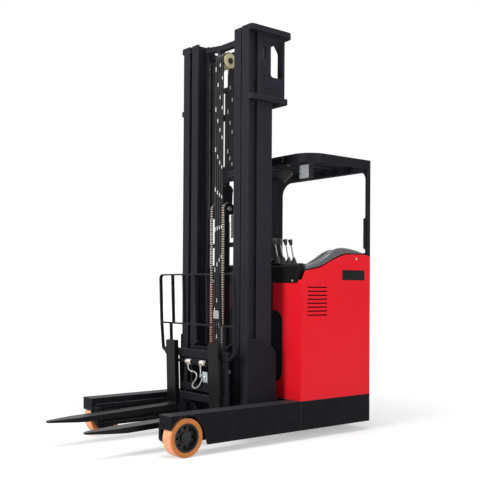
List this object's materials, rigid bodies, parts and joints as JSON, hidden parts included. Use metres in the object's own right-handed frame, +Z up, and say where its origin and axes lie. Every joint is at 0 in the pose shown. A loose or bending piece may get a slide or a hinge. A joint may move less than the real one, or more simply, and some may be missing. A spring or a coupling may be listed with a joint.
{
  "type": "reach truck",
  "caption": "Electric reach truck with a two-section mast on a sliding carriage, tilting forks with a load backrest, wheeled support legs and an overhead guard.",
  "frame": {"origin": "on the floor, under the middle of the whole truck's length and width", "axes": "+X towards the fork tips, +Y the truck's left side, +Z up"},
  "size_m": [2.4726, 1.224, 3.165],
  "materials": {
    "black_paint": "satin near-black paint",
    "red_paint": "gloss red paint",
    "battery_case": "matt black painted steel case",
    "black_plastic": "black textured plastic",
    "seat_cover": "black vinyl seat cover",
    "lamp_metal": "silver lamp housing",
    "wheel_tread": "orange polyurethane tread",
    "wheel_iron": "black painted cast hub",
    "rod_steel": "hard chromed rod",
    "chain_steel": "oiled steel leaf chain",
    "pulley_nylon": "cream nylon pulley",
    "hose_rubber": "black rubber hydraulic hose"
  },
  "bodies": {
    "chassis": {"base_frame": "black_paint", "support_leg_left": "black_paint", "support_leg_right": "black_paint", "battery": "battery_case", "side_panel_left": "red_paint", "side_panel_right": "red_paint", "front_panel": "red_paint", "rear_panel": "black_paint", "console": "black_plastic", "control_levers": "black_plastic", "armrest_cover": "black_plastic", "operator_floor": "black_paint", "seat_box": "black_plastic", "seat": "seat_cover", "work_lamp": "lamp_metal", "mirror_plate": "black_plastic", "grab_handle": "black_plastic", "guard_roof": "black_paint", "guard_portal": "black_paint", "guard_front_post": "black_paint"},
    "steering_knob": {"steering_wheel": "black_plastic"},
    "drive_steer": {"drive_unit": "black_paint"},
    "drive_wheel": {"drive_tyre": "wheel_tread", "drive_hub": "wheel_iron"},
    "load_wheel_left": {"load_tyre_left": "wheel_tread", "load_hub_left": "wheel_iron"},
    "load_wheel_right": {"load_tyre_right": "wheel_tread", "load_hub_right": "wheel_iron"},
    "reach_carriage": {"reach_side_left": "black_paint", "reach_side_right": "black_paint", "reach_frame": "black_paint", "outer_upright_left": "black_paint", "outer_upright_right": "black_paint", "mast_bracket_left": "black_paint", "mast_bracket_right": "black_paint", "mast_tie_top": "black_paint", "mast_tie_low": "black_paint", "lift_cylinder_left": "black_paint", "lift_cylinder_right": "black_paint"},
    "inner_mast": {"inner_upright_left": "black_paint", "inner_upright_right": "black_paint", "inner_mast_head": "black_paint", "inner_tie_mid": "black_paint", "inner_tie_low": "black_paint", "inner_tie_top": "black_paint", "free_lift_cylinder": "black_paint", "hose_pulley": "pulley_nylon", "lift_rod_left": "rod_steel", "lift_rod_right": "rod_steel", "mast_hoses": "hose_rubber"},
    "chain_crosshead": {"crosshead": "black_paint", "lift_chain_left": "chain_steel", "lift_chain_right": "chain_steel"},
    "lift_carriage": {"lift_carriage": "black_paint"},
    "tilt_frame": {"tilt_frame": "black_paint"},
    "fork_carriage": {"fork_bars": "black_paint", "fork_left": "black_paint", "fork_right": "black_paint", "load_backrest": "black_paint"}
  },
  "joints": [
    {"name": "reach", "type": "slide", "parent": "chassis", "child": "reach_carriage", "axis": [1, 0, 0], "range_m": [0, 0.56]},
    {"name": "mast_lift", "type": "slide", "parent": "reach_carriage", "child": "inner_mast", "axis": [0, 0, 1], "range_m": [0, 2.3]},
    {"name": "carriage_lift", "type": "slide", "parent": "inner_mast", "child": "lift_carriage", "axis": [0, 0, 1], "range_m": [0, 1.85], "deforming": ["lift_chain_left", "lift_chain_right", "mast_hoses"]},
    {"name": "crosshead_lift", "type": "slide", "parent": "inner_mast", "child": "chain_crosshead", "axis": [0, 0, 1], "range_m": [0, 0.925]},
    {"name": "fork_tilt", "type": "hinge", "parent": "lift_carriage", "child": "tilt_frame", "pos_m": [0.05, 0, 0.31], "axis": [0, 1, 0], "range_deg": [-6, 0]},
    {"name": "side_shift", "type": "slide", "parent": "tilt_frame", "child": "fork_carriage", "axis": [0, 1, 0], "range_m": [-0.08, 0.08]},
    {"name": "load_wheel_left_spin", "type": "hinge", "parent": "chassis", "child": "load_wheel_left", "pos_m": [0.626, 0.558, 0.135], "axis": [0, 1, 0], "continuous": true},
    {"name": "load_wheel_right_spin", "type": "hinge", "parent": "chassis", "child": "load_wheel_right", "pos_m": [0.626, -0.558, 0.135], "axis": [0, 1, 0], "continuous": true},
    {"name": "drive_steering", "type": "hinge", "parent": "chassis", "child": "drive_steer", "pos_m": [-0.96, 0, 0.171], "axis": [0, 0, 1], "range_deg": [-90, 90]},
    {"name": "drive_wheel_spin", "type": "hinge", "parent": "drive_steer", "child": "drive_wheel", "pos_m": [-0.96, 0, 0.171], "axis": [0, 1, 0], "continuous": true},
    {"name": "steering_wheel_turn", "type": "hinge", "parent": "chassis", "child": "steering_knob", "pos_m": [-0.778, -0.13, 1.35], "axis": [0, 0, 1], "continuous": true}
  ],
  "couplings": [
    {"joint": "crosshead_lift", "follows": "carriage_lift", "ratio": 0.5}
  ]
}
